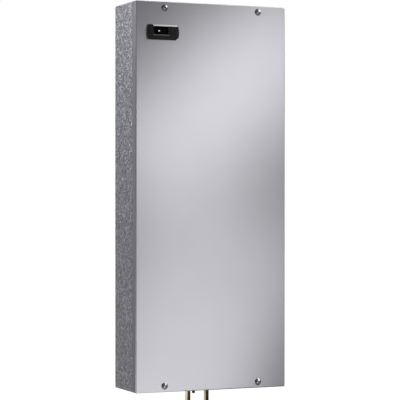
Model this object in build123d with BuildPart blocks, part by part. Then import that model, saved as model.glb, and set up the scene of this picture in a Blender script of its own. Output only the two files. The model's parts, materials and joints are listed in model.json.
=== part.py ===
"""Air-to-water heat exchanger for the outside of an electronics cabinet.

A flat galvanised chassis hangs on the cabinet wall, and a stainless cover closes its front. A fan behind
the upper rear opening draws in warm cabinet air and drives it down in front of a water-cooled coil. The
air crosses the coil and goes back through the lower rear opening. Two brass pipes carry the water through
the floor of the chassis, and a drain tube takes the condensate out between them.

Millimetres. X runs to the right, Y to the back and Z up. The origin is the centre of the mounting face.
Values that end in _in are distances from that face towards the front, which is along -Y.
"""

import os
from math import cos, radians, sin, sqrt

from build123d import *

os.makedirs("parts", exist_ok=True)

# Casing
width = 400.0
height = 950.0
depth = 145.0
sheet = 1.5
cover_sheet = 1.5
cover_return = 22.0
corner_radius = 3.0
bend_radius = 2.5
side_lip = 14.0
end_lip = 30.0

# Clearances
slip = 0.3
seam = 0.5
running = 0.05
seat = 0.1

# Cover fastening
screw_side_inset = 75.0
screw_inset = 15.0
screw_radius = 3.0
screw_hole = 3.5
head_radius = 6.0
head_height = 3.6
head_chamfer = 1.2
socket_radius = 2.3
socket_depth = 2.2
screw_tail = 3.0
washer_radius = 8.5
washer_rise = 2.2
washer_slope = 45.0
cage_side = 14.0
cage_nut_side = 9.2
cage_nut_height = 6.0
gasket_thickness = 2.0
gasket_width = 7.0
gasket_inset = 2.0

# Wall fixing
mount_inset = 30.0
mount_hole = 4.5
wall_seal_inset = 8.0
wall_seal_width = 11.0
wall_seal_thickness = 4.0

# Fan and its air inlet
fan_drop = 215.0
inlet_radius = 96.0
guard_margin = 7.0
guard_sheet = 1.5
guard_slot = 11.0
guard_web = 4.0
guard_rim = 6.0
nozzle_margin = 24.0
nozzle_sheet = 1.5
mouth_inset = 2.0
throat_radius = 72.0
bell_length = 20.0
throat_length = 9.0
wheel_radius = 110.0
wheel_sheet = 1.5
wheel_overlap = 4.0
wheel_gap = 2.5
wheel_collar = 6.0
shroud_drop = 16.0
blade_count = 7
blade_sheet = 2.0
blade_sweep = 35.0
blade_belly = 0.4
rotor_radius = 46.0
rotor_nose = 40.0
rotor_tail = 4.0
rotor_chamfer = 5.0
shaft_radius = 6.0
shaft_length = 9.0
motor_gap = 1.0
motor_flange = 48.0
motor_plate = 11.0
bracket_front_gap = 28.5
bracket_height = 112.0
bracket_return = 24.0

# Coil
coil_side_gap = 45.0
coil_depth = 40.0
coil_gap_above = 62.0
coil_base = 130.0
fin_pitch = 6.0
fin_sheet = 0.4
tube_count = 20
tube_depth = 32.0
tube_sheet = 3.0
tank_depth = 36.0
tank_height = 20.0
tank_split = 6.0
end_flange = 15.0
baffle_flange = 15.0

# Air outlet
outlet_side = 10.0
outlet_height = 150.0
outlet_rise = 25.0
grille_margin = 22.0
grille_sheet = 1.5
grille_slot = 9.0
grille_web = 4.0
grille_rib = 6.0

# Condensate
tray_wall = 2.0
tray_height = 22.0
tray_overhang = 7.0
tray_front = 16.0
drain_in = 29.0
drain_radius = 4.0
drain_bore = 2.6
drain_reach = 19.5
drain_stub = 14.0

# Water connections
pipe_span = 50.0
pipe_in = 53.0
pipe_radius = 6.35
pipe_bore = 4.6
pipe_reach = 40.0
pipe_collar = 10.0
pipe_collar_height = 3.0
lock_nut_radius = 12.5
lock_nut_height = 7.0
neck_margin = 4.0
valve_side = 30.0
valve_height = 40.0
valve_chamfer = 3.0
valve_drop = 18.0
solenoid_side = 34.0
solenoid_length = 38.0
solenoid_neck = 7.0
solenoid_neck_length = 6.0

# Controller
panel_x = 70.0
panel_drop = 75.5
bezel_width = 82.0
bezel_height = 37.0
bezel_bulge = 3.0
bezel_depth = 7.0
bezel_wall = 2.0
bezel_edge = 1.4
bezel_brow = 4.0
bezel_brow_drop = 3.0
bezel_brow_inset = 13.0
bezel_notch = 9.0
bezel_notch_rise = 6.5
case_width = 71.0
case_height = 29.0
case_length = 58.0
case_proud = 1.6
window_width = 37.0
window_height = 18.0
window_x = -6.8
window_z = 4.1
window_recess = 0.8
window_sheet = 1.8
lamp_radius = 1.4
lamp_x = -11.8
lamp_z = 3.1
lamp_proud = 0.2
ledge_length = 42.0
ledge_height = 1.8
ledge_proud = 1.2
ledge_drop = 10.1
key_width = 17.0
key_height = 4.8
key_pitch = 6.6
key_count = 3
key_x = 22.5
key_z = 3.0
key_proud = 0.8
key_gap = 0.3
key_flange = 0.9
key_flange_sheet = 1.0
key_travel = 0.8
key_round = 1.0
clamp_width = 8.0
clamp_height = 18.0
clamp_length = 26.0
terminal_height = 12.0
terminal_length = 14.0

# Small electrical pieces
entry_inset = 80.0
entry_drop = 62.0
entry_width = 60.0
entry_height = 30.0
entry_flange = 5.0
entry_sheet = 2.5
entry_dome = 14.0
entry_dome_height = 3.0
block_width = 62.0
block_height = 22.0
block_length = 30.0
block_offset = 80.0
block_poles = 5
block_slot = 6.0
block_slot_depth = 6.0
sensor_radius = 3.0
sensor_length = 32.0
sensor_offset = 30.0
sensor_in = 9.0
sensor_clip_side = 12.0

# Casing levels
floor_level = -height / 2
screw_span_x = width - 2 * screw_side_inset
screw_span_z = height - 2 * screw_inset
mount_span_x = width - 2 * mount_inset
mount_span_z = height - 2 * mount_inset
cover_inner_in = depth - cover_sheet
lip_in = cover_inner_in - gasket_thickness
lip_back_in = lip_in - sheet
shoulder_in = depth - cover_return - seam
neck_width = width - 2 * (cover_sheet + slip)
neck_height = height - 2 * (cover_sheet + slip)
inside_width = width - 2 * sheet
inside_height = height - 2 * sheet

# Air side levels
fan_z = height / 2 - fan_drop
guard_in = sheet
guard_side = 2 * (inlet_radius + guard_margin)
guard_field = inlet_radius - guard_rim
nozzle_side = 2 * (inlet_radius + nozzle_margin)
mouth_radius = inlet_radius - mouth_inset
nozzle_in = guard_in + guard_sheet
bell_in = nozzle_in + bell_length
throat_in = bell_in + throat_length
wheel_in = throat_in - wheel_overlap
wheel_eye = throat_radius + nozzle_sheet + wheel_gap
shroud_in = wheel_in + wheel_collar
shroud_rim_in = shroud_in + shroud_drop
bracket_front_in = depth - bracket_front_gap
bracket_in = bracket_front_in - sheet
motor_in = bracket_in - motor_plate
rotor_tail_in = motor_in - motor_gap
back_plate_in = rotor_tail_in - rotor_tail - wheel_sheet
coil_top = fan_z - wheel_radius - coil_gap_above
coil_bottom = floor_level + coil_base
coil_height = coil_top - coil_bottom
coil_middle = (coil_top + coil_bottom) / 2
coil_front_in = pipe_in + coil_depth / 2
coil_half_width = width / 2 - coil_side_gap
tube_pitch = 2 * coil_half_width / tube_count
tank_half = coil_half_width - seat
tube_bottom = coil_bottom + tank_height
tube_top = coil_top - tank_height
outlet_width = 2 * (coil_half_width - outlet_side)
outlet_z = coil_bottom + outlet_rise + outlet_height / 2
end_flange_in = sheet + grille_sheet

# Water side levels
tray_rim = coil_bottom
tray_floor = tray_rim - tray_height
tray_back_in = sheet
tray_width = 2 * (coil_half_width + tray_overhang)
tray_front_in = coil_front_in + tray_front
valve_top = tray_floor - valve_drop
valve_bottom = valve_top - valve_height
pipe_end = floor_level - pipe_reach

# Places of the small electrical pieces
entry_x = width / 2 - entry_inset
entry_z = height / 2 - entry_drop
block_x = entry_x - block_offset
sensor_x = -nozzle_side / 2 - sensor_offset

# Controller levels
panel_left = -width / 2 + panel_x
panel_z = height / 2 - panel_drop
bezel_front_in = depth + bezel_depth
bezel_back_in = bezel_front_in - bezel_wall
case_front_in = depth + case_proud
case_back_in = case_front_in - case_length
key_front_in = bezel_front_in + key_proud
key_back_in = bezel_back_in - key_flange_sheet
key_mat_in = key_back_in - key_travel - seat
window_front_in = bezel_front_in - window_recess


def facing(distance):
    """Plane at this distance from the mounting face, with X to the right and Z up, seen from the front."""
    return Plane.XZ.offset(distance)


def folded(points, thickness=sheet):
    """Section of a folded sheet: the points run along its outer face, and the metal lies to their left."""
    with BuildSketch(mode=Mode.PRIVATE) as section:
        with BuildLine():
            FilletPolyline(*points, radius=bend_radius)
            offset(amount=thickness, side=Side.LEFT)
        make_face()
    return section.sketch


def cover_screw_places():
    """The four cover screws, seen from the front."""
    return GridLocations(screw_span_x, screw_span_z, 2, 2)


def mounting_places():
    """The four bolt holes of the mounting face."""
    return GridLocations(mount_span_x, mount_span_z, 2, 2)


def finish(piece, name):
    """Name a finished piece and write it."""
    piece.part.label = name
    export_step(piece.part, f"parts/{name}.step")


# Chassis: a welded box of galvanised sheet, stepped in at the front so that the cover lies flush
with BuildPart() as chassis:
    with BuildSketch(facing(0)):
        RectangleRounded(width, height, corner_radius)
    extrude(amount=shoulder_in)
    fillet(chassis.faces().sort_by(Axis.Y)[-1].edges(), bend_radius)
    with BuildSketch(facing(shoulder_in)):
        RectangleRounded(neck_width, neck_height, corner_radius - cover_sheet)
    extrude(amount=lip_in - shoulder_in)
    with BuildSketch(facing(sheet)):
        Rectangle(inside_width, inside_height)
    extrude(amount=shoulder_in - 2 * sheet, mode=Mode.SUBTRACT)
    with BuildSketch(facing(sheet)):
        Rectangle(neck_width - 2 * sheet, neck_height - 2 * sheet)
    extrude(amount=lip_back_in - sheet, mode=Mode.SUBTRACT)
    with BuildSketch(facing(lip_back_in)):
        Rectangle(neck_width - 2 * side_lip, neck_height - 2 * end_lip)
        with cover_screw_places():
            Rectangle(cage_nut_side + 2 * seat, cage_nut_side + 2 * seat)
    extrude(amount=sheet, mode=Mode.SUBTRACT)
    with BuildSketch(facing(0)):
        with Locations((0, fan_z)):
            Circle(inlet_radius)
        with Locations((0, outlet_z)):
            Rectangle(outlet_width, outlet_height)
        with mounting_places():
            Circle(mount_hole)
        with Locations((entry_x, entry_z)):
            Rectangle(entry_width + 2 * slip, entry_height + 2 * slip)
    extrude(amount=sheet, mode=Mode.SUBTRACT)
    with BuildSketch(Plane.XY.offset(floor_level)):
        with Locations((-pipe_span / 2, -pipe_in), (pipe_span / 2, -pipe_in)):
            Circle(pipe_radius + slip)
        with Locations((0, -drain_in)):
            Circle(drain_radius + slip)
    extrude(amount=sheet, mode=Mode.SUBTRACT)
finish(chassis, "chassis")

# Front cover: a folded stainless pan with rounded bends and a cut-out for the controller
with BuildPart() as front_cover:
    with BuildSketch(facing(depth - cover_return)):
        RectangleRounded(width, height, corner_radius)
    extrude(amount=cover_return)
    fillet(front_cover.faces().sort_by(Axis.Y)[0].edges(), bend_radius)
    with BuildSketch(facing(depth - cover_return)):
        RectangleRounded(width - 2 * cover_sheet, height - 2 * cover_sheet, corner_radius - cover_sheet)
    extrude(amount=cover_return - cover_sheet, mode=Mode.SUBTRACT)
    with BuildSketch(facing(cover_inner_in)):
        with cover_screw_places():
            Circle(screw_hole)
        with Locations((panel_left, panel_z)):
            Rectangle(case_width + 2 * slip, case_height + 2 * slip)
    extrude(amount=cover_sheet, mode=Mode.SUBTRACT)
finish(front_cover, "front_cover")

# Gasket between the lips of the chassis and the cover
with BuildPart() as cover_gasket:
    with BuildSketch(facing(lip_in)):
        Rectangle(neck_width - 2 * gasket_inset, neck_height - 2 * gasket_inset)
        gasket_inner = 2 * (gasket_inset + gasket_width)
        Rectangle(neck_width - gasket_inner, neck_height - gasket_inner, mode=Mode.SUBTRACT)
    extrude(amount=gasket_thickness)
finish(cover_gasket, "cover_gasket")

# Cover screws, with round heads and hexagon sockets
washer_front_in = depth + washer_rise
head_front_in = washer_front_in + head_height
screw_end_in = lip_in - cage_nut_height - screw_tail
with BuildPart() as cover_screws:
    with BuildSketch(facing(screw_end_in)):
        with cover_screw_places():
            Circle(screw_radius)
    extrude(amount=washer_front_in - screw_end_in)
    with BuildSketch(facing(washer_front_in)):
        with cover_screw_places():
            Circle(head_radius)
    extrude(amount=head_height)
    chamfer(cover_screws.faces().group_by(Axis.Y)[0].edges(), head_chamfer)
    with BuildSketch(facing(head_front_in - socket_depth)):
        with cover_screw_places():
            RegularPolygon(socket_radius, 6)
    extrude(amount=socket_depth, mode=Mode.SUBTRACT)
finish(cover_screws, "cover_screws")

# Cup washers under the screw heads, conical on the outside
with BuildPart() as cover_washers:
    with BuildSketch(facing(depth)):
        with cover_screw_places():
            Circle(washer_radius)
    extrude(amount=washer_rise, taper=washer_slope)
    with BuildSketch(facing(depth)):
        with cover_screw_places():
            Circle(screw_radius + seat)
    extrude(amount=washer_rise, mode=Mode.SUBTRACT)
finish(cover_washers, "cover_washers")

# Cage nuts, which sit behind the lips with a neck in the square holes
with BuildPart() as cover_nuts:
    with BuildSketch(facing(lip_in - cage_nut_height)):
        with cover_screw_places():
            Rectangle(cage_side, cage_side)
    extrude(amount=cage_nut_height - sheet)
    with BuildSketch(facing(lip_back_in)):
        with cover_screw_places():
            Rectangle(cage_nut_side, cage_nut_side)
    extrude(amount=sheet)
    with BuildSketch(facing(lip_in - cage_nut_height)):
        with cover_screw_places():
            Circle(screw_radius + running)
    extrude(amount=cage_nut_height, mode=Mode.SUBTRACT)
finish(cover_nuts, "cover_nuts")

# Foam seal round the mounting face
with BuildPart() as wall_seal:
    with BuildSketch(facing(-wall_seal_thickness)):
        Rectangle(width - 2 * wall_seal_inset, height - 2 * wall_seal_inset)
        seal_inner = 2 * (wall_seal_inset + wall_seal_width)
        Rectangle(width - seal_inner, height - seal_inner, mode=Mode.SUBTRACT)
    extrude(amount=wall_seal_thickness)
finish(wall_seal, "wall_seal")

# Inlet guard: a sheet with rows of slots that follow the round opening
slot_pitch = guard_slot + guard_web
slot_rows = int((guard_field - guard_slot / 2) / slot_pitch)
with BuildPart() as inlet_guard:
    with BuildSketch(facing(guard_in)):
        with Locations((0, fan_z)):
            RectangleRounded(guard_side, guard_side, corner_radius)
        for row in range(-slot_rows, slot_rows + 1):
            row_edge = abs(row) * slot_pitch + guard_slot / 2
            chord = sqrt(guard_field**2 - row_edge**2)
            slot_length = chord - guard_web
            slot_x = guard_web + slot_length / 2
            slot_z = fan_z + row * slot_pitch
            with Locations((-slot_x, slot_z), (slot_x, slot_z)):
                Rectangle(slot_length, guard_slot, mode=Mode.SUBTRACT)
    extrude(amount=guard_sheet)
finish(inlet_guard, "inlet_guard")

# Inlet nozzle: a square flange with a bell that leads the air into the eye of the wheel
fan_axis = Axis((0, 0, fan_z), (0, 1, 0))
with BuildPart() as inlet_nozzle:
    with BuildSketch(facing(nozzle_in)):
        with Locations((0, fan_z)):
            Rectangle(nozzle_side, nozzle_side)
            Circle(mouth_radius, mode=Mode.SUBTRACT)
    extrude(amount=nozzle_sheet)
    with BuildSketch(Plane.XY.offset(fan_z)):
        with BuildLine():
            Polyline(
                (mouth_radius, -nozzle_in),
                (throat_radius, -bell_in),
                (throat_radius, -throat_in),
                (throat_radius + nozzle_sheet, -throat_in),
                (throat_radius + nozzle_sheet, -bell_in),
                (mouth_radius + nozzle_sheet, -nozzle_in),
                close=True,
            )
        make_face()
    revolve(axis=fan_axis)
finish(inlet_nozzle, "inlet_nozzle")

# Fan wheel: backward-curved blades between a back plate and a conical shroud
blade_tip = wheel_radius - wheel_sheet
blade_middle = (wheel_eye + blade_tip) / 2


def on_wheel(radius, angle):
    """Point of the wheel's face at this radius and angle."""
    return (radius * cos(radians(angle)), radius * sin(radians(angle)))


with BuildSketch() as blade_section:
    with BuildLine():
        ThreePointArc(
            on_wheel(wheel_eye, 0),
            on_wheel(blade_middle, -blade_sweep * blade_belly),
            on_wheel(blade_tip, -blade_sweep),
        )
    trace(line_width=blade_sheet)

with BuildPart() as fan_wheel:
    with BuildSketch(facing(shroud_in)):
        with Locations((0, fan_z)):
            with PolarLocations(0, blade_count):
                add(blade_section.sketch)
    extrude(amount=back_plate_in - shroud_in)
    with BuildSketch(Plane.XY.offset(fan_z)):
        with BuildLine():
            Polyline(
                (0, -back_plate_in),
                (wheel_radius, -back_plate_in),
                (wheel_radius, -shroud_rim_in - wheel_sheet / 2),
                (wheel_eye, -shroud_in - wheel_sheet / 2),
                (0, -shroud_in - wheel_sheet / 2),
                close=True,
            )
        make_face()
    revolve(axis=fan_axis, mode=Mode.INTERSECT)
    with BuildSketch(Plane.XY.offset(fan_z)):
        with BuildLine():
            Polyline(
                (wheel_eye, -wheel_in),
                (wheel_eye + wheel_sheet, -wheel_in),
                (wheel_eye + wheel_sheet, -shroud_in),
                (wheel_radius, -shroud_rim_in),
                (wheel_radius, -shroud_rim_in - wheel_sheet),
                (wheel_eye, -shroud_in - wheel_sheet),
                close=True,
            )
        make_face()
    revolve(axis=fan_axis)
    with BuildSketch(facing(back_plate_in)):
        with Locations((0, fan_z)):
            Circle(wheel_radius)
            Circle(rotor_radius + running, mode=Mode.SUBTRACT)
    extrude(amount=wheel_sheet)
finish(fan_wheel, "fan_wheel")

# Rotor: the drum of an outer-rotor motor, with its shaft
with BuildPart() as fan_rotor:
    with BuildSketch(facing(back_plate_in - rotor_nose)):
        with Locations((0, fan_z)):
            Circle(rotor_radius)
    extrude(amount=rotor_tail_in - back_plate_in + rotor_nose)
    chamfer(fan_rotor.faces().sort_by(Axis.Y)[-1].edges(), rotor_chamfer)
    with BuildSketch(facing(rotor_tail_in)):
        with Locations((0, fan_z)):
            Circle(shaft_radius)
    extrude(amount=motor_gap + shaft_length)
finish(fan_rotor, "fan_rotor")

# Stator plate, which carries the shaft and sits on the bracket
with BuildPart() as fan_motor:
    with BuildSketch(facing(motor_in)):
        with Locations((0, fan_z)):
            Circle(motor_flange)
    extrude(amount=motor_plate)
    with BuildSketch(facing(motor_in)):
        with Locations((0, fan_z)):
            Circle(shaft_radius + running)
    extrude(amount=shaft_length + seam, mode=Mode.SUBTRACT)
finish(fan_motor, "fan_motor")

# Fan bracket: a channel from wall to wall in front of the wheel
bracket_half = inside_width / 2
bracket_edge_in = bracket_front_in - bracket_return
with BuildPart() as fan_bracket:
    with BuildSketch(Plane.XY.offset(fan_z - bracket_height / 2)):
        add(
            folded(
                [
                    (-bracket_half, -bracket_edge_in),
                    (-bracket_half, -bracket_front_in),
                    (bracket_half, -bracket_front_in),
                    (bracket_half, -bracket_edge_in),
                ]
            )
        )
    extrude(amount=bracket_height)
finish(fan_bracket, "fan_bracket")

# Air baffle: a shelf over the coil that sends the air down in front of it
with BuildPart() as air_baffle:
    with BuildSketch(Plane.YZ.offset(-bracket_half)):
        add(
            folded(
                [
                    (-coil_front_in, coil_top),
                    (-sheet, coil_top),
                    (-sheet, coil_top + baffle_flange),
                ]
            )
        )
    extrude(amount=2 * bracket_half)
finish(air_baffle, "air_baffle")

# Coil tubes: upright flat tubes, so that the condensate runs down them
with BuildPart() as coil_tubes:
    with BuildSketch(Plane.XY.offset(tube_bottom)):
        with Locations((0, -pipe_in)):
            with GridLocations(tube_pitch, tube_depth, tube_count, 1):
                Rectangle(tube_sheet, tube_depth)
    extrude(amount=tube_top - tube_bottom)
finish(coil_tubes, "coil_tubes")

# Coil fins: level plates pressed over the tubes
fin_count = int((tube_top - tube_bottom) / fin_pitch) - 1
fin_levels = [coil_middle + (index - (fin_count - 1) / 2) * fin_pitch for index in range(fin_count)]
with BuildPart() as coil_fins:
    with Locations(*[(0, -pipe_in, level) for level in fin_levels]):
        Box(2 * tank_half, coil_depth, fin_sheet)
finish(coil_fins, "coil_fins")

# Water tanks: one above all the tubes, and one below each half, so that the water goes up and comes back
with BuildPart() as top_tank:
    with BuildSketch(Plane.XY.offset(tube_top)):
        with Locations((0, -pipe_in)):
            Rectangle(2 * tank_half, tank_depth)
    extrude(amount=tank_height)
finish(top_tank, "top_tank")

half_tank = tank_half - tank_split / 2
for name, side in (("supply_tank", -1), ("return_tank", 1)):
    with BuildPart() as tank:
        with BuildSketch(Plane.XY.offset(coil_bottom)):
            with Locations((side * (tank_split + half_tank) / 2, -pipe_in)):
                Rectangle(half_tank, tank_depth)
        extrude(amount=tank_height)
    finish(tank, name)

# Coil end plates, flanged against the outlet grille
end_plate_path = [
    (-coil_half_width, -coil_front_in),
    (-coil_half_width, -end_flange_in),
    (-coil_half_width - sheet - end_flange, -end_flange_in),
]
with BuildPart() as end_plate_left:
    with BuildSketch(Plane.XY.offset(coil_bottom)):
        add(folded(end_plate_path))
    extrude(amount=coil_height)
finish(end_plate_left, "coil_end_plate_left")

with BuildPart() as end_plate_right:
    with BuildSketch(Plane.XY.offset(coil_bottom)):
        add(folded(end_plate_path))
        mirror(about=Plane.YZ, mode=Mode.REPLACE)
    extrude(amount=coil_height)
finish(end_plate_right, "coil_end_plate_right")

# Outlet grille: a slotted sheet behind the lower rear opening
grille_rows = int((outlet_height - grille_web) / (grille_slot + grille_web))
grille_slot_length = (outlet_width - grille_rib) / 2 - grille_web
with BuildPart() as outlet_grille:
    with BuildSketch(facing(sheet)):
        with Locations((0, outlet_z)):
            RectangleRounded(
                outlet_width + 2 * grille_margin,
                outlet_height + 2 * grille_margin,
                corner_radius,
            )
            with GridLocations(grille_slot_length + grille_rib, grille_slot + grille_web, 2, grille_rows):
                Rectangle(grille_slot_length, grille_slot, mode=Mode.SUBTRACT)
    extrude(amount=grille_sheet)
finish(outlet_grille, "outlet_grille")

# Condensate tray, with a neck for the pipes and a drain stub
tray_depth = tray_front_in - tray_back_in
tray_middle_in = (tray_front_in + tray_back_in) / 2
neck_depth_outer = 2 * (pipe_radius + neck_margin)
neck_width_outer = pipe_span + neck_depth_outer
stub_radius = drain_bore - seat
stub_bore = stub_radius - tray_wall / 2
with BuildPart() as condensate_tray:
    with BuildSketch(Plane.XY.offset(tray_floor)):
        with Locations((0, -tray_middle_in)):
            Rectangle(tray_width, tray_depth)
    extrude(amount=tray_height)
    with BuildSketch(Plane.XY.offset(tray_floor + tray_wall)):
        with Locations((0, -tray_middle_in)):
            Rectangle(tray_width - 2 * tray_wall, tray_depth - 2 * tray_wall)
    extrude(amount=tray_height - tray_wall, mode=Mode.SUBTRACT)
    with BuildSketch(Plane.XY.offset(tray_floor)):
        with Locations((0, -pipe_in)):
            Rectangle(neck_width_outer, neck_depth_outer)
    extrude(amount=tray_height)
    with BuildSketch(Plane.XY.offset(tray_floor)):
        with Locations((0, -pipe_in)):
            Rectangle(neck_width_outer - 2 * tray_wall, neck_depth_outer - 2 * tray_wall)
    extrude(amount=tray_height, mode=Mode.SUBTRACT)
    with BuildSketch(Plane.XY.offset(tray_floor - drain_stub)):
        with Locations((0, -drain_in)):
            Circle(stub_radius)
    extrude(amount=drain_stub)
    with BuildSketch(Plane.XY.offset(tray_floor - drain_stub)):
        with Locations((0, -drain_in)):
            Circle(stub_bore)
    extrude(amount=drain_stub + tray_wall, mode=Mode.SUBTRACT)
finish(condensate_tray, "condensate_tray")

# Drain tube from the tray through the floor
drain_end = floor_level - drain_reach
with BuildPart() as drain_tube:
    with BuildSketch(Plane.XY.offset(drain_end)):
        with Locations((0, -drain_in)):
            Circle(drain_radius)
            Circle(drain_bore, mode=Mode.SUBTRACT)
    extrude(amount=tray_floor - drain_end)
finish(drain_tube, "drain_tube")

# Water pipes: brass tubes with a collar under the floor. The supply ends in the valve
for name, side, pipe_top in (("supply_pipe", -1, valve_bottom), ("return_pipe", 1, coil_bottom)):
    pipe_place = (side * pipe_span / 2, -pipe_in)
    with BuildPart() as pipe:
        with BuildSketch(Plane.XY.offset(pipe_end)):
            with Locations(pipe_place):
                Circle(pipe_radius)
        extrude(amount=pipe_top - pipe_end)
        with BuildSketch(Plane.XY.offset(floor_level - pipe_collar_height)):
            with Locations(pipe_place):
                Circle(pipe_collar)
        extrude(amount=pipe_collar_height)
        with BuildSketch(Plane.XY.offset(pipe_end)):
            with Locations(pipe_place):
                Circle(pipe_bore)
        extrude(amount=pipe_top - pipe_end, mode=Mode.SUBTRACT)
    finish(pipe, name)

# Riser from the valve to the supply tank
with BuildPart() as supply_riser:
    with BuildSketch(Plane.XY.offset(valve_top)):
        with Locations((-pipe_span / 2, -pipe_in)):
            Circle(pipe_radius)
    extrude(amount=coil_bottom - valve_top)
finish(supply_riser, "supply_riser")

# Lock nuts that hold the pipes in the floor
with BuildPart() as lock_nuts:
    with BuildSketch(Plane.XY.offset(floor_level + sheet)):
        with Locations((-pipe_span / 2, -pipe_in), (pipe_span / 2, -pipe_in)):
            RegularPolygon(lock_nut_radius, 6)
            Circle(pipe_radius + running, mode=Mode.SUBTRACT)
    extrude(amount=lock_nut_height)
finish(lock_nuts, "lock_nuts")

# Valve in the supply line, with a neck for its solenoid
solenoid_in = pipe_in + valve_side / 2 + solenoid_neck_length
valve_z = (valve_bottom + valve_top) / 2
with BuildPart() as valve_body:
    with BuildSketch(Plane.XY.offset(valve_bottom)):
        with Locations((-pipe_span / 2, -pipe_in)):
            Rectangle(valve_side, valve_side)
    extrude(amount=valve_height)
    chamfer(valve_body.edges().filter_by(Axis.Z), valve_chamfer)
    with BuildSketch(facing(pipe_in + valve_side / 2)):
        with Locations((-pipe_span / 2, valve_z)):
            RegularPolygon(solenoid_neck, 6)
    extrude(amount=solenoid_neck_length)
finish(valve_body, "valve_body")

with BuildPart() as valve_solenoid:
    with BuildSketch(facing(solenoid_in)):
        with Locations((-pipe_span / 2, valve_z)):
            Rectangle(solenoid_side, solenoid_side)
    extrude(amount=solenoid_length)
finish(valve_solenoid, "valve_solenoid")

# Controller bezel: bowed ends, a sloping brow, a ledge under the window, a clipped lower right corner
half_width = bezel_width / 2
half_height = bezel_height / 2
notch_z = bezel_notch_rise - half_height
notch_x = half_width - bezel_bulge * (notch_z / half_height) ** 2
panel_place = (panel_left, panel_z)
key_levels = [(index - (key_count - 1) / 2) * key_pitch for index in range(key_count)]
with BuildSketch() as bezel_outline:
    with BuildLine():
        Line((bezel_bulge - half_width, -half_height), (half_width - bezel_notch, -half_height))
        Line((half_width - bezel_notch, -half_height), (notch_x, notch_z))
        ThreePointArc((notch_x, notch_z), (half_width, 0), (half_width - bezel_bulge, half_height))
        Line((half_width - bezel_bulge, half_height), (bezel_bulge - half_width, half_height))
        ThreePointArc(
            (bezel_bulge - half_width, half_height),
            (-half_width, 0),
            (bezel_bulge - half_width, -half_height),
        )
    make_face()

with BuildPart() as controller_bezel:
    with BuildSketch(facing(depth)):
        with Locations(panel_place):
            add(bezel_outline.sketch)
    extrude(amount=bezel_depth)
    chamfer(controller_bezel.faces().sort_by(Axis.Y)[0].edges(), bezel_edge)
    with BuildSketch(Plane.YZ.offset(panel_left - half_width + bezel_brow_inset)):
        brow_top = panel_z + half_height
        with BuildLine():
            Polyline(
                (-bezel_front_in, brow_top),
                (-bezel_front_in, brow_top - bezel_brow),
                (-bezel_front_in + bezel_brow_drop, brow_top),
                close=True,
            )
        make_face()
    extrude(amount=bezel_width - bezel_brow_inset, mode=Mode.SUBTRACT)
    with BuildSketch(facing(depth)):
        with Locations(panel_place):
            Rectangle(case_width + 2 * slip, case_height + 2 * slip)
    extrude(amount=bezel_depth - bezel_wall, mode=Mode.SUBTRACT)
    with BuildSketch(facing(bezel_back_in)):
        with Locations((panel_left + window_x, panel_z + window_z)):
            Rectangle(window_width, window_height)
        for level in key_levels:
            with Locations((panel_left + key_x, panel_z + key_z + level)):
                RectangleRounded(key_width + 2 * key_gap, key_height + 2 * key_gap, key_round)
    extrude(amount=bezel_wall, mode=Mode.SUBTRACT)
    with BuildSketch(Plane.YZ.offset(panel_left + window_x - ledge_length / 2)):
        ledge_top = panel_z + window_z - ledge_drop
        with BuildLine():
            Polyline(
                (-bezel_front_in, ledge_top),
                (-bezel_front_in - ledge_proud, ledge_top - ledge_height),
                (-bezel_front_in, ledge_top - ledge_height),
                close=True,
            )
        make_face()
    extrude(amount=ledge_length)
finish(controller_bezel, "controller_bezel")

# Display window, with a hole for the lamp
with BuildPart() as display_window:
    with BuildSketch(facing(window_front_in - window_sheet)):
        with Locations((panel_left + window_x, panel_z + window_z)):
            Rectangle(window_width - 2 * seat, window_height - 2 * seat)
        with Locations((panel_left + lamp_x, panel_z + lamp_z)):
            Circle(lamp_radius + seat, mode=Mode.SUBTRACT)
    extrude(amount=window_sheet)
finish(display_window, "display_window")

with BuildPart() as status_lamp:
    with BuildSketch(facing(window_front_in - window_sheet)):
        with Locations((panel_left + lamp_x, panel_z + lamp_z)):
            Circle(lamp_radius)
    extrude(amount=window_sheet + lamp_proud)
finish(status_lamp, "status_lamp")

# Display block behind the window
with BuildPart() as display_block:
    with BuildSketch(facing(case_front_in)):
        with Locations((panel_left + window_x, panel_z + window_z)):
            Rectangle(window_width - 2 * slip, window_height - 2 * slip)
    extrude(amount=window_front_in - window_sheet - case_front_in)
finish(display_block, "display_block")

# Keys: caps that pass through the bezel, with side flanges that keep them in
for name, level in zip(("key_down", "key_set", "key_up"), key_levels):
    with BuildPart() as key:
        with BuildSketch(facing(key_back_in)):
            with Locations((panel_left + key_x, panel_z + key_z + level)):
                Rectangle(key_width + 2 * key_flange, key_height)
        extrude(amount=key_flange_sheet)
        with BuildSketch(facing(bezel_back_in)):
            with Locations((panel_left + key_x, panel_z + key_z + level)):
                RectangleRounded(key_width, key_height, key_round)
        extrude(amount=key_front_in - bezel_back_in)
    finish(key, name)

# Rubber mat under the keys
with BuildPart() as key_mat:
    with BuildSketch(facing(case_front_in)):
        with Locations((panel_left + key_x, panel_z + key_z)):
            Rectangle(key_width + 2 * key_flange, key_count * key_pitch)
    extrude(amount=key_mat_in - case_front_in)
finish(key_mat, "key_mat")

# Controller case behind the cover, its clamps and its terminals
with BuildPart() as controller_case:
    with BuildSketch(facing(case_back_in)):
        with Locations(panel_place):
            Rectangle(case_width, case_height)
    extrude(amount=case_length)
finish(controller_case, "controller_case")

clamp_offset = case_width + clamp_width
with BuildPart() as controller_clamps:
    with BuildSketch(facing(cover_inner_in - clamp_length)):
        with Locations(panel_place):
            with GridLocations(clamp_offset, clamp_height, 2, 1):
                Rectangle(clamp_width, clamp_height)
    extrude(amount=clamp_length)
finish(controller_clamps, "controller_clamps")

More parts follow.
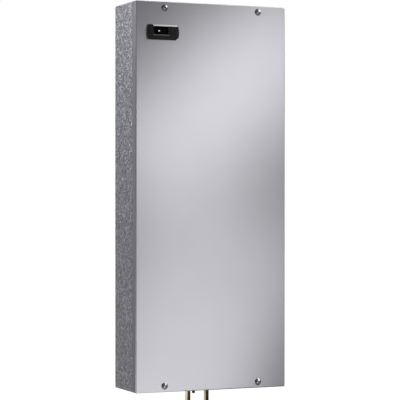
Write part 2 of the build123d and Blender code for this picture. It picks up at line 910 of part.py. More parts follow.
with BuildPart() as controller_terminals:
    with BuildSketch(facing(case_back_in - terminal_length)):
        with Locations(panel_place):
            Rectangle(case_width - 2 * clamp_width, terminal_height)
    extrude(amount=terminal_length)
finish(controller_terminals, "controller_terminals")

# Cable entry: a membrane plate in the rear wall, closed until a cable is pushed through
entry_place = (entry_x, entry_z)
with BuildPart() as cable_entry:
    with BuildSketch(facing(sheet)):
        with Locations(entry_place):
            Rectangle(entry_width + 2 * entry_flange, entry_height + 2 * entry_flange)
    extrude(amount=entry_sheet)
    with BuildSketch(facing(0)):
        with Locations(entry_place):
            Rectangle(entry_width, entry_height)
    extrude(amount=sheet)
    with BuildSketch(facing(-entry_dome_height)):
        with Locations(entry_place):
            with GridLocations(entry_width / 2, entry_height, 2, 1):
                Rectangle(entry_dome, entry_dome)
    extrude(amount=entry_dome_height)
finish(cable_entry, "cable_entry")

# Terminal block for the supply, inside the rear wall beside the entry
with BuildPart() as terminal_block:
    with BuildSketch(facing(sheet)):
        with Locations((block_x, entry_z)):
            Rectangle(block_width, block_height)
    extrude(amount=block_length)
    with BuildSketch(facing(sheet + block_length - block_slot_depth)):
        with Locations((block_x, entry_z)):
            with GridLocations(block_width / block_poles, block_height, block_poles, 1):
                Rectangle(block_slot, block_slot)
    extrude(amount=block_slot_depth, mode=Mode.SUBTRACT)
finish(terminal_block, "terminal_block")

# Air sensor in a clip beside the inlet
with BuildPart() as sensor_clip:
    with BuildSketch(Plane.XY.offset(fan_z - sensor_clip_side / 2)):
        with Locations((sensor_x, -sheet - sensor_in)):
            Rectangle(sensor_clip_side, 2 * sensor_in)
            Circle(sensor_radius + running, mode=Mode.SUBTRACT)
    extrude(amount=sensor_clip_side)
finish(sensor_clip, "sensor_clip")

with BuildPart() as air_sensor:
    with BuildSketch(Plane.XY.offset(fan_z - sensor_length / 2)):
        with Locations((sensor_x, -sheet - sensor_in)):
            Circle(sensor_radius)
    extrude(amount=sensor_length)
finish(air_sensor, "air_sensor")
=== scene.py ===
"""Looks of the cabinet cooler: its finishes, small fasteners and marks, and a plain studio round it.

Metres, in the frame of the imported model: X to the right, Y to the back, Z up, and the origin on the
mounting face.
"""

import json
from math import asin, cos, pi, radians, sin

import bmesh
import bpy
from mathutils import Matrix, Quaternion, Vector


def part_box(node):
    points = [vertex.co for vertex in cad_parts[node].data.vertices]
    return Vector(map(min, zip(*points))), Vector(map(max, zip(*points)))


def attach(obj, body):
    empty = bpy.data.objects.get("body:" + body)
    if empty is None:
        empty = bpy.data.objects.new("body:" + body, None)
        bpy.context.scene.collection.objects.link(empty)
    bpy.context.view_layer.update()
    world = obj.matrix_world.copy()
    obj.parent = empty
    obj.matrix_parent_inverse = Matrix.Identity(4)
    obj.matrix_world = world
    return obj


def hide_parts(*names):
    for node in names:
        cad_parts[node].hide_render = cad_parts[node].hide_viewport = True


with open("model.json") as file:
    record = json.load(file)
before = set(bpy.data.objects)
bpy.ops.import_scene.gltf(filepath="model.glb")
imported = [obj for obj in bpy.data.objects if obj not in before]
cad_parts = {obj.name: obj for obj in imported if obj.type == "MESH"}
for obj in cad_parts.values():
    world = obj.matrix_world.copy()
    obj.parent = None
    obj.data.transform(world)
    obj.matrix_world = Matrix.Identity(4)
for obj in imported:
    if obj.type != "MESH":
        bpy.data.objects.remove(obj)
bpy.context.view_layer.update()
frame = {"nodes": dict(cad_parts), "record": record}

# Camera, level and turned to the right
camera_place = (-1.6489, -3.9445, -0.0075)
camera_turn = radians(23.06)
camera_lens = 151.5

# Floor, and how bright it shows in the metal by side
floor_level = -2.2
floor_half = 60.0
floor_near = 1.0
floor_far = 5.0
floor_grey = 0.45
floor_clear = 0.6
floor_dim = 0.10
floor_bright = 0.42
floor_turn = 0.4
floor_under = 0.1

# Room that the metal shows: tones from front to back, a paler ceiling, a lighter front left, a dimmer right
room_front = (0.03, 0.03, 0.031)
room_side = (0.06, 0.06, 0.062)
room_back = (0.262, 0.262, 0.267)
side_depth = 0.55
back_depth = 0.85
ceiling_lift = 0.16
ceiling_start = 0.3
ceiling_end = 0.9
pane_bright = 0.32
pane_edge = -0.2
pane_front = -0.75
pane_back = -0.55
right_dim = 0.65
right_start = 0.1
right_end = 0.7

# Card in front of the pipes
card_place = (0.075, -0.155, -0.533)
card_width = 0.29
card_height = 0.10

# Cover screws: button heads with hexagon sockets
head_radius = 0.006
head_rise = 0.0036
head_crown = 0.0026
dome_radius = 0.0071
dome_steps = 6
shank_radius = 0.003
socket_half = 0.002
socket_depth = 0.0022
turn_steps = 24

# Rivets round the rear openings
rivet_radius = 0.0032
rivet_rise = 0.0012
guard_inset = 0.0035
grille_inset = 0.0105
rivet_segments = 16
rivet_rings = 8

# Painted highlights: silver strips on the controller's brow and on the ledge under its window, standing in
# for the light that these slopes catch
brow_inset = 0.0145
brow_end = 0.0045
brow_height = 0.004
brow_depth = 0.003
brow_cover = 0.94
ledge_length = 0.042
ledge_height = 0.0018
ledge_proud = 0.0012
ledge_drop = 0.0101
ledge_cover = 0.75
strip_sheet = 0.0002
strip_round = 0.00006

# Marks on the keys
mark_radius = 0.0012
mark_rise = 0.00006

# Unlit digits in the display window
digit_height = 0.0105
digit_width = 0.0056
digit_pitch = 0.0088
digit_stroke = 0.0011
digit_gap = 0.0003
digit_rise = 0.00005
digit_count = 3

# Zinc: how many crystals and edge waves to the metre, how far they wander and tilt, and how dull they are
crystal_scale = 260.0
edge_scale = 120.0
edge_wander = 0.003
crystal_tilt = 0.38
crystal_rough = (0.44, 0.62)
zinc_tones = (0.0, (0.34, 0.34, 0.38)), (0.55, (0.56, 0.56, 0.615)), (1.0, (0.90, 0.90, 0.98))

# Stainless: grain lines and clouds to the metre, how dull the grain is and how deep
satin_grain = (1400.0, 1400.0, 9.0)
satin_cloud = 5.0
satin_rough = (0.28, 0.32)
satin_depth = 0.00001
satin_tones = (0.3, (0.606, 0.600, 0.642)), (0.7, (0.636, 0.630, 0.672))

# Brass: drawing lines and dull patches to the metre, how dull they are and how deep the lines
brass_lines = (2500.0, 2500.0, 30.0)
brass_patches = 60.0
brass_rough = (0.26, 0.16)
brass_depth = 0.00001
brass_tones = (0.3, (0.62, 0.51, 0.30)), (0.65, (0.82, 0.72, 0.48))

# Other finishes: clouds and grain to the metre, and how far the gloss wanders
plastic_cloud = 40.0
plastic_grain = 2600.0
plastic_wander = 0.06
metal_wander = 0.05
metal_grain = 12.0
metal_depth = 0.00003
foam_pores = 900.0
foam_depth = 0.0002
lens_speck = 900.0


def new_finish(name, **values):
    """A new material, its node tree and its surface shader, with the values that are the same all over."""
    material = bpy.data.materials.new(name)
    material.use_nodes = True
    surface = material.node_tree.nodes["Principled BSDF"]
    for key, value in values.items():
        surface.inputs[key.replace("_", " ")].default_value = value
    return material, material.node_tree, surface


def add_node(tree, kind, inputs=None, **settings):
    """A shader node of this kind, with its settings and the start values of its inputs."""
    made = tree.nodes.new("ShaderNode" + kind)
    for key, value in settings.items():
        setattr(made, key, value)
    for key, value in (inputs or {}).items():
        made.inputs[key].default_value = value
    return made


def object_place(tree, scale=(1, 1, 1)):
    """Place on the piece in metres, stretched by this scale."""
    place = add_node(tree, "TexCoord")
    stretch = add_node(tree, "Mapping", {"Scale": scale})
    tree.links.new(place.outputs["Object"], stretch.inputs["Vector"])
    return stretch.outputs["Vector"]


def noise(tree, place, scale, detail=3.0, roughness=0.5):
    """Smooth noise from 0 to 1."""
    made = add_node(tree, "TexNoise", {"Scale": scale, "Detail": detail, "Roughness": roughness})
    tree.links.new(place, made.inputs["Vector"])
    return made.outputs["Fac"]


def spread(tree, value, low, high, start=0.0, end=1.0):
    """The value between start and end, brought to the range from low to high."""
    made = add_node(tree, "MapRange", {"From Min": start, "From Max": end, "To Min": low, "To Max": high})
    tree.links.new(value, made.inputs["Value"])
    return made.outputs["Result"]


def tones(tree, value, *stops):
    """Colour that runs through these stops, each a place from 0 to 1 and a colour."""
    ramp = add_node(tree, "ValToRGB")
    elements = ramp.color_ramp.elements
    while len(elements) < len(stops):
        elements.new(0.5)
    for element, (place, colour) in zip(elements, stops):
        element.position = place
        element.color = (*colour, 1.0)
    tree.links.new(value, ramp.inputs["Fac"])
    return ramp.outputs["Color"]


def raise_by(tree, surface, height, distance, strength=1.0):
    """Bump from this height, with its full depth in metres."""
    bump = add_node(tree, "Bump", {"Strength": strength, "Distance": distance})
    tree.links.new(height, bump.inputs["Height"])
    tree.links.new(bump.outputs["Normal"], surface.inputs["Normal"])


def spangled_zinc():
    """Hot-dip zinc: crystals of a few millimetres, each with its own tone, gloss and slight tilt."""
    material, tree, surface = new_finish("spangled_zinc", Metallic=1.0)
    place = object_place(tree)
    wander = add_node(tree, "TexNoise", {"Scale": edge_scale, "Detail": 2.0})
    tree.links.new(place, wander.inputs["Vector"])
    bent = add_node(tree, "VectorMath", {1: [edge_wander] * 3}, operation="MULTIPLY_ADD")
    tree.links.new(wander.outputs["Color"], bent.inputs[0])
    tree.links.new(place, bent.inputs[2])
    crystals = add_node(tree, "TexVoronoi", {"Scale": crystal_scale})
    tree.links.new(bent.outputs["Vector"], crystals.inputs["Vector"])
    parts = add_node(tree, "SeparateColor")
    tree.links.new(crystals.outputs["Color"], parts.inputs["Color"])
    tree.links.new(tones(tree, parts.outputs["Red"], *zinc_tones), surface.inputs["Base Color"])
    tree.links.new(spread(tree, parts.outputs["Green"], *crystal_rough), surface.inputs["Roughness"])
    tilt = add_node(tree, "VectorMath", {1: (0.5, 0.5, 0.5)}, operation="SUBTRACT")
    tree.links.new(crystals.outputs["Color"], tilt.inputs[0])
    lean = add_node(tree, "VectorMath", {1: [crystal_tilt] * 3}, operation="MULTIPLY_ADD")
    tree.links.new(tilt.outputs["Vector"], lean.inputs[0])
    geometry = add_node(tree, "NewGeometry")
    tree.links.new(geometry.outputs["Normal"], lean.inputs[2])
    unit = add_node(tree, "VectorMath", operation="NORMALIZE")
    tree.links.new(lean.outputs["Vector"], unit.inputs[0])
    tree.links.new(unit.outputs["Vector"], surface.inputs["Normal"])
    return material


def satin_stainless():
    """Stainless sheet with a fine upright grain and a faint cloudiness."""
    material, tree, surface = new_finish("satin_stainless", Metallic=1.0)
    grain = noise(tree, object_place(tree, satin_grain), 1.0)
    cloud = noise(tree, object_place(tree), satin_cloud)
    tree.links.new(tones(tree, cloud, *satin_tones), surface.inputs["Base Color"])
    tree.links.new(spread(tree, grain, *satin_rough), surface.inputs["Roughness"])
    raise_by(tree, surface, grain, satin_depth, 0.25)
    return material


def worked_metal(name, dark, light, rough, scale):
    """Plain metal with cloudy tone and gloss and a little unevenness."""
    material, tree, surface = new_finish(name, Metallic=1.0)
    place = object_place(tree)
    cloud = noise(tree, place, scale)
    tree.links.new(tones(tree, cloud, (0.3, dark), (0.7, light)), surface.inputs["Base Color"])
    gloss = spread(tree, cloud, rough - metal_wander, rough + metal_wander)
    tree.links.new(gloss, surface.inputs["Roughness"])
    raise_by(tree, surface, noise(tree, place, scale * metal_grain), metal_depth, 0.2)
    return material


def drawn_brass():
    """Brass tube with faint drawing lines along it and patches that have dulled."""
    material, tree, surface = new_finish("drawn_brass", Metallic=1.0)
    lines = noise(tree, object_place(tree, brass_lines), 1.0)
    patches = noise(tree, object_place(tree), brass_patches)
    tree.links.new(tones(tree, patches, *brass_tones), surface.inputs["Base Color"])
    tree.links.new(spread(tree, patches, *brass_rough), surface.inputs["Roughness"])
    raise_by(tree, surface, lines, brass_depth, 0.3)
    return material


def moulded(name, colour, light, rough, grain_depth=0.00002, gloss=0.5):
    """Moulded plastic or rubber with a fine spark-eroded grain and slightly uneven gloss."""
    material, tree, surface = new_finish(name, Specular_IOR_Level=gloss)
    place = object_place(tree)
    cloud = noise(tree, place, plastic_cloud)
    tree.links.new(tones(tree, cloud, (0.3, colour), (0.75, light)), surface.inputs["Base Color"])
    dullness = spread(tree, cloud, rough - plastic_wander, rough + plastic_wander)
    tree.links.new(dullness, surface.inputs["Roughness"])
    raise_by(tree, surface, noise(tree, place, plastic_grain), grain_depth, 0.4)
    return material


def smoked_window():
    """Glossy smoked acrylic with a few wipe marks in its gloss."""
    material, tree, surface = new_finish("smoked_window", Specular_IOR_Level=0.03)
    wipes = noise(tree, object_place(tree, (60.0, 60.0, 220.0)), 1.0)
    colour = tones(tree, wipes, (0.2, (0.002, 0.002, 0.0025)), (0.8, (0.004, 0.004, 0.005)))
    tree.links.new(colour, surface.inputs["Base Color"])
    tree.links.new(spread(tree, wipes, 0.05, 0.12), surface.inputs["Roughness"])
    return material


def lit_lens():
    """Small lens that is lit from behind, its glow finely speckled."""
    material, tree, surface = new_finish("lit_lens", Roughness=0.2, Emission_Strength=1.0)
    speck = noise(tree, object_place(tree), lens_speck)
    colour = tones(tree, speck, (0.3, (0.70, 0.74, 0.76)), (0.7, (0.9, 0.93, 0.95)))
    tree.links.new(colour, surface.inputs["Base Color"])
    glow = tones(tree, speck, (0.3, (0.55, 0.58, 0.6)), (0.7, (0.8, 0.83, 0.85)))
    tree.links.new(glow, surface.inputs["Emission Color"])
    return material


def closed_foam():
    """Black closed-cell foam with small pores."""
    material, tree, surface = new_finish("closed_foam")
    place = object_place(tree)
    pores = add_node(tree, "TexVoronoi", {"Scale": foam_pores})
    tree.links.new(place, pores.inputs["Vector"])
    hollow = pores.outputs["Distance"]
    colour = tones(tree, hollow, (0.1, (0.012, 0.012, 0.012)), (0.7, (0.045, 0.045, 0.046)))
    tree.links.new(colour, surface.inputs["Base Color"])
    tree.links.new(spread(tree, noise(tree, place, 50.0), 0.75, 0.95), surface.inputs["Roughness"])
    raise_by(tree, surface, hollow, foam_depth, 0.6)
    return material


finishes = {
    "galvanised_steel": spangled_zinc(),
    "plated_sheet": worked_metal("plated_sheet", (0.40, 0.41, 0.43), (0.52, 0.53, 0.55), 0.42, 25.0),
    "stainless_steel": satin_stainless(),
    "screw_steel": worked_metal("screw_steel", (0.30, 0.30, 0.315), (0.40, 0.40, 0.42), 0.20, 200.0),
    "washer_steel": worked_metal("washer_steel", (0.20, 0.20, 0.21), (0.28, 0.28, 0.29), 0.25, 150.0),
    "coil_aluminium": worked_metal("coil_aluminium", (0.60, 0.61, 0.63), (0.74, 0.75, 0.77), 0.38, 30.0),
    "wheel_aluminium": worked_metal("wheel_aluminium", (0.52, 0.53, 0.55), (0.66, 0.67, 0.69), 0.45, 30.0),
    "motor_black": moulded("motor_black", (0.018, 0.018, 0.02), (0.035, 0.035, 0.038), 0.4),
    "brass": drawn_brass(),
    "bezel_plastic": moulded(
        "bezel_plastic", (0.004, 0.004, 0.0045), (0.008, 0.008, 0.009), 0.30, gloss=0.35,
    ),
    "case_plastic": moulded("case_plastic", (0.014, 0.014, 0.014), (0.03, 0.03, 0.03), 0.5),
    "tray_plastic": moulded("tray_plastic", (0.12, 0.12, 0.13), (0.18, 0.18, 0.19), 0.5),
    "key_plastic": moulded("key_plastic", (0.007, 0.007, 0.008), (0.012, 0.012, 0.014), 0.45, gloss=0.22),
    "window_plastic": smoked_window(),
    "lamp_plastic": lit_lens(),
    "foam_rubber": closed_foam(),
    "black_rubber": moulded("black_rubber", (0.010, 0.010, 0.010), (0.022, 0.022, 0.022), 0.55, 0.00005),
    "sensor_steel": worked_metal("sensor_steel", (0.55, 0.55, 0.57), (0.66, 0.66, 0.68), 0.25, 120.0),
}
# Painted highlights: a light silver colour for the brow strip and a grey one for the ledge strip, in place
# of the light these slopes catch
painted_brow_highlight = worked_metal("painted_brow_highlight", (0.56, 0.56, 0.57), (0.72, 0.72, 0.73), 0.45, 300.0)
painted_ledge_highlight = worked_metal("painted_ledge_highlight", (0.13, 0.13, 0.135), (0.18, 0.18, 0.185), 0.45, 300.0)
mark_grey = moulded("mark_grey", (0.10, 0.10, 0.105), (0.14, 0.14, 0.145), 0.5)
digit_grey = moulded("digit_grey", (0.003, 0.003, 0.0035), (0.005, 0.005, 0.0055), 0.3, gloss=0.1)
for entry in frame["record"]["subparts"]:
    for place in frame["nodes"][entry["node"]].material_slots:
        place.material = finishes[entry["material_slot"]]


def add_piece(name, shape, body, finish):
    """Make a piece of this shape, give it its finish and let it ride on its body."""
    mesh = bpy.data.meshes.new(name)
    shape.to_mesh(mesh)
    shape.free()
    mesh.materials.append(finish)
    piece = bpy.data.objects.new(name, mesh)
    bpy.context.scene.collection.objects.link(piece)
    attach(piece, body)
    return piece


def rivet_places(node, columns, rows, inset):
    """Places along the edge of a rear sheet, on its face towards the wall."""
    low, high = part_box(node)
    left, right = low[0] + inset, high[0] - inset
    bottom, top = low[2] + inset, high[2] - inset
    places = []
    for column in range(columns):
        across = left + (right - left) * column / (columns - 1)
        places += [(across, bottom), (across, top)]
    for row in range(1, rows - 1):
        along = bottom + (top - bottom) * row / (rows - 1)
        places += [(left, along), (right, along)]
    return places


def rear_rivets():
    """Blind rivets that hold the guard and the grille to the rear wall."""
    heads = bmesh.new()
    places = rivet_places("inlet_guard", 3, 3, guard_inset)
    places += rivet_places("outlet_grille", 4, 3, grille_inset)
    dome = Matrix.Diagonal((1.0, 1.0, rivet_rise / rivet_radius, 1.0))
    for across, along in places:
        turn = Matrix.Translation((across, 0.0, along)) @ Matrix.Rotation(-pi / 2, 4, "X")
        bmesh.ops.create_uvsphere(
            heads, u_segments=rivet_segments, v_segments=rivet_rings, radius=rivet_radius,
            matrix=turn @ dome,
        )
    for face in heads.faces:
        face.smooth = True
    add_piece("rear_rivets", heads, "unit", finishes["washer_steel"])


rear_rivets()


def socket_radius(angle):
    """Distance from the screw's axis to the flat of its socket at this angle."""
    return socket_half / cos((angle % (pi / 3)) - pi / 6)


def cover_screws():
    """Four button-head screws, spun from one outline, with hexagon sockets."""
    low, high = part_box("cover_screws")
    seat = low[1] + head_rise
    rim_angle = asin(head_radius / dome_radius)
    crown_angle = asin(head_crown / dome_radius)
    outline = [(shank_radius, high[1] - seat), (shank_radius, 0.0), (head_radius, 0.0)]
    for step in range(dome_steps + 1):
        angle = rim_angle + (crown_angle - rim_angle) * step / dome_steps
        back = dome_radius * (cos(crown_angle) - cos(angle)) - head_rise
        outline.append((dome_radius * sin(angle), back))
    screws = bmesh.new()
    for across in (low[0] + head_radius, high[0] - head_radius):
        for along in (low[2] + head_radius, high[2] - head_radius):
            middle = Vector((across, seat, along))
            points = [screws.verts.new(middle + Vector((radius, back, 0.0))) for radius, back in outline]
            lines = [screws.edges.new(pair) for pair in zip(points, points[1:])]
            bmesh.ops.spin(
                screws, geom=points + lines, cent=middle, axis=(0, 1, 0), angle=2 * pi, steps=turn_steps,
                use_merge=True,
            )
            rim = [edge for edge in screws.edges if edge.is_boundary and edge.verts[0].co.y < seat]
            for depth in (0.0, socket_depth):
                walls = bmesh.ops.extrude_edge_only(screws, edges=rim)["geom"]
                rim = [part for part in walls if isinstance(part, bmesh.types.BMEdge) and part.is_boundary]
                for point in {point for edge in rim for point in edge.verts}:
                    arm = point.co - middle
                    reach = socket_radius(arm.xz.angle_signed(Vector((1, 0))))
                    direction = Vector((arm.x, 0.0, arm.z)).normalized()
                    point.co = middle + direction * reach + Vector((0, arm.y + depth, 0))
            bmesh.ops.edgeloop_fill(screws, edges=rim)
            tail = [edge for edge in screws.edges if edge.is_boundary and edge.verts[0].co.y > seat]
            bmesh.ops.edgeloop_fill(screws, edges=tail)
    bmesh.ops.recalc_face_normals(screws, faces=screws.faces)
    piece = add_piece("cover_screw_set", screws, "unit", finishes["screw_steel"])
    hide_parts("cover_screws")


cover_screws()


def sloping_highlight_strip(name, left, right, foot, slope, cover, finish):
    """Thin strip of painted highlight on a sloping edge of the controller, over this share of the slope
    above its foot.
    """
    strip = bmesh.new()
    bmesh.ops.create_cube(strip, size=1.0)
    bmesh.ops.scale(strip, vec=(right - left, strip_sheet, slope.length * cover), verts=strip.verts)
    bmesh.ops.bevel(
        strip, geom=strip.edges, offset=strip_round, segments=2, profile=0.5, affect="EDGES",
        material=-1,
    )
    turn = Matrix.Rotation(-slope.angle(Vector((0, 0, 1))), 3, "X")
    bmesh.ops.rotate(strip, cent=(0, 0, 0), matrix=turn, verts=strip.verts)
    middle = Vector(((left + right) / 2, *foot)) + slope / 2
    bmesh.ops.translate(strip, vec=middle, verts=strip.verts)
    add_piece(name, strip, "unit", finish)


def controller_highlights():
    """Painted highlights: a silver strip on the brow along the top of the controller, and a greyer one on
    the ledge.
    """
    low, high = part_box("controller_bezel")
    brow_foot = (low[1] + ledge_proud, high[2] - brow_height)
    brow_slope = Vector((0.0, brow_depth, brow_height))
    # Painted highlight along the brow
    sloping_highlight_strip(
        "brow_highlight_strip", low[0] + brow_inset, high[0] - brow_end, brow_foot, brow_slope,
        brow_cover, painted_brow_highlight,
    )
    pane_low, pane_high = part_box("display_window")
    pane_x, pane_z = (pane_low[0] + pane_high[0]) / 2, (pane_low[2] + pane_high[2]) / 2
    ledge_foot = (low[1], pane_z - ledge_drop - ledge_height)
    ledge_slope = Vector((0.0, ledge_proud, ledge_height))
    # Painted highlight along the ledge under the window
    sloping_highlight_strip(
        "ledge_highlight_strip", pane_x - ledge_length / 2, pane_x + ledge_length / 2, ledge_foot, ledge_slope,
        ledge_cover, painted_ledge_highlight,
    )


def key_mark(key, corners, turn):
    """Small printed mark in the middle of a key: an arrow head or a square."""
    low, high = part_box(key)
    mark = bmesh.new()
    bmesh.ops.create_circle(mark, cap_ends=True, radius=mark_radius, segments=corners)
    bmesh.ops.rotate(mark, cent=(0, 0, 0), matrix=Matrix.Rotation(turn, 3, "Z"), verts=mark.verts)
    bmesh.ops.rotate(mark, cent=(0, 0, 0), matrix=Matrix.Rotation(pi / 2, 3, "X"), verts=mark.verts)
    raised = bmesh.ops.extrude_face_region(mark, geom=mark.faces[:])["geom"]
    points = [part for part in raised if isinstance(part, bmesh.types.BMVert)]
    bmesh.ops.translate(mark, vec=(0, -mark_rise, 0), verts=points)
    middle = ((low[0] + high[0]) / 2, low[1], (low[2] + high[2]) / 2)
    bmesh.ops.translate(mark, vec=middle, verts=mark.verts)
    bmesh.ops.recalc_face_normals(mark, faces=mark.faces)
    add_piece(key + "_mark", mark, key, mark_grey)


def unlit_digits():
    """Dark seven-bar digits that just show in the window."""
    low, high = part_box("display_window")
    middle = Vector(((low[0] + high[0]) / 2, low[1], (low[2] + high[2]) / 2))
    upright = (digit_height - digit_stroke) / 2 - 2 * digit_gap
    level = digit_width - digit_stroke - 2 * digit_gap
    half_width = (digit_width - digit_stroke) / 2
    half_height = (digit_height - digit_stroke) / 2
    bars = [((0.0, row * half_height), (level, digit_stroke)) for row in (-1, 0, 1)]
    bars += [
        ((side * half_width, row * half_height / 2), (digit_stroke, upright))
        for side in (-1, 1) for row in (-1, 1)
    ]
    digits = bmesh.new()
    for index in range(digit_count):
        across = (index - (digit_count - 1) / 2) * digit_pitch
        for (x, z), (width, height) in bars:
            place = Matrix.Translation(middle + Vector((across + x, 0.0, z)))
            size = Matrix.Diagonal((width, 2 * digit_rise, height, 1.0))
            bmesh.ops.create_cube(digits, size=1.0, matrix=place @ size)
    add_piece("unlit_digits", digits, "unit", digit_grey)


# Painted highlights on the controller's brow and ledge
controller_highlights()
key_mark("key_up", 3, pi / 2)
key_mark("key_set", 4, pi / 4)
key_mark("key_down", 3, -pi / 2)
unlit_digits()


def studio_world():
    """White to the camera and through clear pieces, and a dim room of several tones to the rest."""
    world = bpy.data.worlds.new("studio")
    bpy.context.scene.world = world
    world.use_nodes = True
    tree = world.node_tree
    room = tree.nodes["Background"]
    direction = add_node(tree, "TexCoord")
    parts = add_node(tree, "SeparateXYZ")
    tree.links.new(direction.outputs["Generated"], parts.inputs["Vector"])
    depth = spread(tree, parts.outputs["Y"], 0.0, 1.0, -1.0, 1.0)
    walls = tones(tree, depth, (0.0, room_front), (side_depth, room_side), (back_depth, room_back))
    ceiling = spread(tree, parts.outputs["Z"], 0.0, ceiling_lift, ceiling_start, ceiling_end)
    lifted = add_node(tree, "VectorMath", operation="ADD")
    tree.links.new(walls, lifted.inputs[0])
    tree.links.new(ceiling, lifted.inputs[1])
    pane = add_node(tree, "Math", operation="MULTIPLY")
    tree.links.new(spread(tree, parts.outputs["X"], pane_bright, 0.0, pane_edge, 0.0), pane.inputs[0])
    tree.links.new(spread(tree, parts.outputs["Y"], 1.0, 0.0, pane_front, pane_back), pane.inputs[1])
    sided = add_node(tree, "VectorMath", operation="ADD")
    tree.links.new(lifted.outputs["Vector"], sided.inputs[0])
    tree.links.new(pane.outputs["Value"], sided.inputs[1])
    tree.links.new(sided.outputs["Vector"], room.inputs["Color"])
    right = spread(tree, parts.outputs["X"], 1.0, right_dim, right_start, right_end)
    tree.links.new(right, room.inputs["Strength"])
    white = add_node(tree, "Background", {"Color": (1, 1, 1, 1), "Strength": 1.0})
    rays = add_node(tree, "LightPath")
    clear = add_node(tree, "Math", operation="MAXIMUM")
    tree.links.new(rays.outputs["Is Camera Ray"], clear.inputs[0])
    tree.links.new(rays.outputs["Is Transmission Ray"], clear.inputs[1])
    mix = add_node(tree, "MixShader")
    tree.links.new(clear.outputs["Value"], mix.inputs["Fac"])
    tree.links.new(room.outputs["Background"], mix.inputs[1])
    tree.links.new(white.outputs["Background"], mix.inputs[2])
    tree.links.new(mix.outputs["Shader"], tree.nodes["World Output"].inputs["Surface"])


def pale_floor():
    """Pale floor that keeps the shadow near the unit, clears to white far away and shows in the metal."""
    shape = bmesh.new()
    bmesh.ops.create_grid(shape, x_segments=1, y_segments=1, size=floor_half)
    bmesh.ops.translate(shape, verts=shape.verts, vec=(0, 0, floor_level))
    mesh = bpy.data.meshes.new("floor")
    shape.to_mesh(mesh)
    shape.free()
    grey = (floor_grey, floor_grey, floor_grey, 1.0)
    material, tree, surface = new_finish("floor_white", Base_Color=grey, Roughness=0.8)
    place = add_node(tree, "TexCoord")
    far = add_node(tree, "VectorMath", operation="LENGTH")
    tree.links.new(place.outputs["Object"], far.inputs[0])
    clear = spread(tree, far.outputs["Value"], floor_clear, 1.0, floor_near, floor_far)
    rays = add_node(tree, "LightPath")
    direct = add_node(tree, "Math", operation="MAXIMUM")
    tree.links.new(rays.outputs["Is Camera Ray"], direct.inputs[0])
    tree.links.new(rays.outputs["Is Transmission Ray"], direct.inputs[1])
    seen = add_node(tree, "Math", operation="MULTIPLY")
    tree.links.new(clear, seen.inputs[0])
    tree.links.new(direct.outputs["Value"], seen.inputs[1])
    sides = add_node(tree, "SeparateXYZ")
    tree.links.new(place.outputs["Object"], sides.inputs["Vector"])
    product = add_node(tree, "Math", operation="MULTIPLY")
    tree.links.new(sides.outputs["X"], product.inputs[0])
    tree.links.new(sides.outputs["Y"], product.inputs[1])
    square = add_node(tree, "Math", {1: 2.0}, operation="POWER")
    tree.links.new(far.outputs["Value"], square.inputs[0])
    quarter = add_node(tree, "Math", operation="DIVIDE")
    tree.links.new(product.outputs["Value"], quarter.inputs[0])
    tree.links.new(square.outputs["Value"], quarter.inputs[1])
    away = add_node(tree, "Math", operation="MULTIPLY")
    tree.links.new(rays.outputs["Is Glossy Ray"], away.inputs[0])
    reach = spread(tree, far.outputs["Value"], floor_under, 1.0, floor_near, floor_far)
    tree.links.new(reach, away.inputs[1])
    mirrored = add_node(tree, "Math", operation="MULTIPLY_ADD")
    tree.links.new(away.outputs["Value"], mirrored.inputs[0])
    sector = spread(tree, quarter.outputs["Value"], floor_dim, floor_bright, 0.0, floor_turn)
    tree.links.new(sector, mirrored.inputs[1])
    tree.links.new(seen.outputs["Value"], mirrored.inputs[2])
    glow = add_node(tree, "Emission", {"Color": (1, 1, 1, 1)})
    tree.links.new(mirrored.outputs["Value"], glow.inputs["Strength"])
    both = add_node(tree, "AddShader")
    tree.links.new(surface.outputs["BSDF"], both.inputs[0])
    tree.links.new(glow.outputs["Emission"], both.inputs[1])
    tree.links.new(both.outputs["Shader"], tree.nodes["Material Output"].inputs["Surface"])
    mesh.materials.append(material)
    floor = bpy.data.objects.new("floor", mesh)
    bpy.context.scene.collection.objects.link(floor)


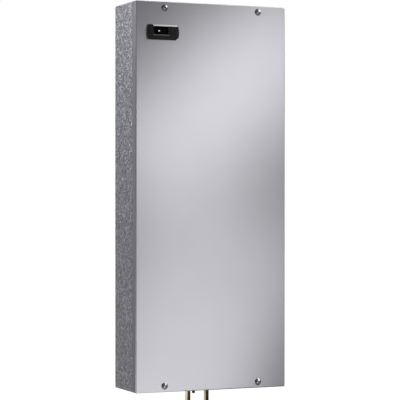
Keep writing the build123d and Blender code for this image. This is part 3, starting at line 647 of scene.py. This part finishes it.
def dark_card():
    """Black card in front of the pipes, which gives them their dark side."""
    shape = bmesh.new()
    bmesh.ops.create_grid(shape, x_segments=1, y_segments=1, size=0.5)
    bmesh.ops.rotate(shape, cent=(0, 0, 0), matrix=Matrix.Rotation(pi / 2, 3, "X"), verts=shape.verts)
    bmesh.ops.scale(shape, vec=(card_width, 1.0, card_height), verts=shape.verts)
    bmesh.ops.translate(shape, vec=card_place, verts=shape.verts)
    mesh = bpy.data.meshes.new("dark_card")
    shape.to_mesh(mesh)
    shape.free()
    black = moulded("card_black", (0.004, 0.004, 0.004), (0.008, 0.008, 0.008), 0.9, gloss=0.0)
    mesh.materials.append(black)
    card = bpy.data.objects.new("dark_card", mesh)
    card.visible_camera = False
    bpy.context.scene.collection.objects.link(card)


def soft_lamp(name, place, aim, size, power, turn=0.0):
    """Oblong soft lamp at this place, aimed at a point and turned about its own axis."""
    data = bpy.data.lights.new(name, "AREA")
    data.shape = "RECTANGLE"
    data.size, data.size_y = size
    data.energy = power
    lamp = bpy.data.objects.new(name, data)
    lamp.location = place
    lamp.rotation_mode = "QUATERNION"
    towards = (Vector(aim) - Vector(place)).to_track_quat("-Z", "Y")
    lamp.rotation_quaternion = towards @ Quaternion((0, 0, 1), turn)
    lamp.visible_camera = False
    bpy.context.scene.collection.objects.link(lamp)


def photo_camera():
    """Level long-lens camera to the left of the unit's middle."""
    data = bpy.data.cameras.new("camera")
    data.lens = camera_lens
    camera = bpy.data.objects.new("camera", data)
    camera.location = camera_place
    camera.rotation_euler = (radians(90), 0, -camera_turn)
    bpy.context.scene.collection.objects.link(camera)
    bpy.context.scene.camera = camera


studio_world()
pale_floor()
dark_card()
soft_lamp(
    "upper_strip", place=(0.61, -1.497, 0.324), aim=(0.6, -0.145, -0.5), size=(0.817, 0.432),
    power=1.97, turn=0.887,
)
soft_lamp(
    "lower_strip", place=(0.101, -0.822, -0.6), aim=(-0.2, -0.145, 0.5), size=(0.536, 2.0),
    power=3.15, turn=-0.246,
)
soft_lamp("upper_right", place=(1.34, -0.82, 2.23), aim=(-0.05, -0.15, 0.2), size=(1.3, 1.0), power=12.0)
soft_lamp("right_side", place=(2.1, -0.85, 1.6), aim=(-0.05, -0.15, 0.2), size=(1.8, 1.4), power=46.0)
soft_lamp("left_rear", place=(-1.6, 1.2, 1.2), aim=(-0.2, -0.07, 0.2), size=(1.0, 1.2), power=7.8)
soft_lamp("pipe_strip", place=(-1.9, 0.35, -0.71), aim=(0.0, -0.053, -0.49), size=(1.3, 0.3), power=2.0)
photo_camera()
bpy.context.scene.view_settings.view_transform = "Standard"
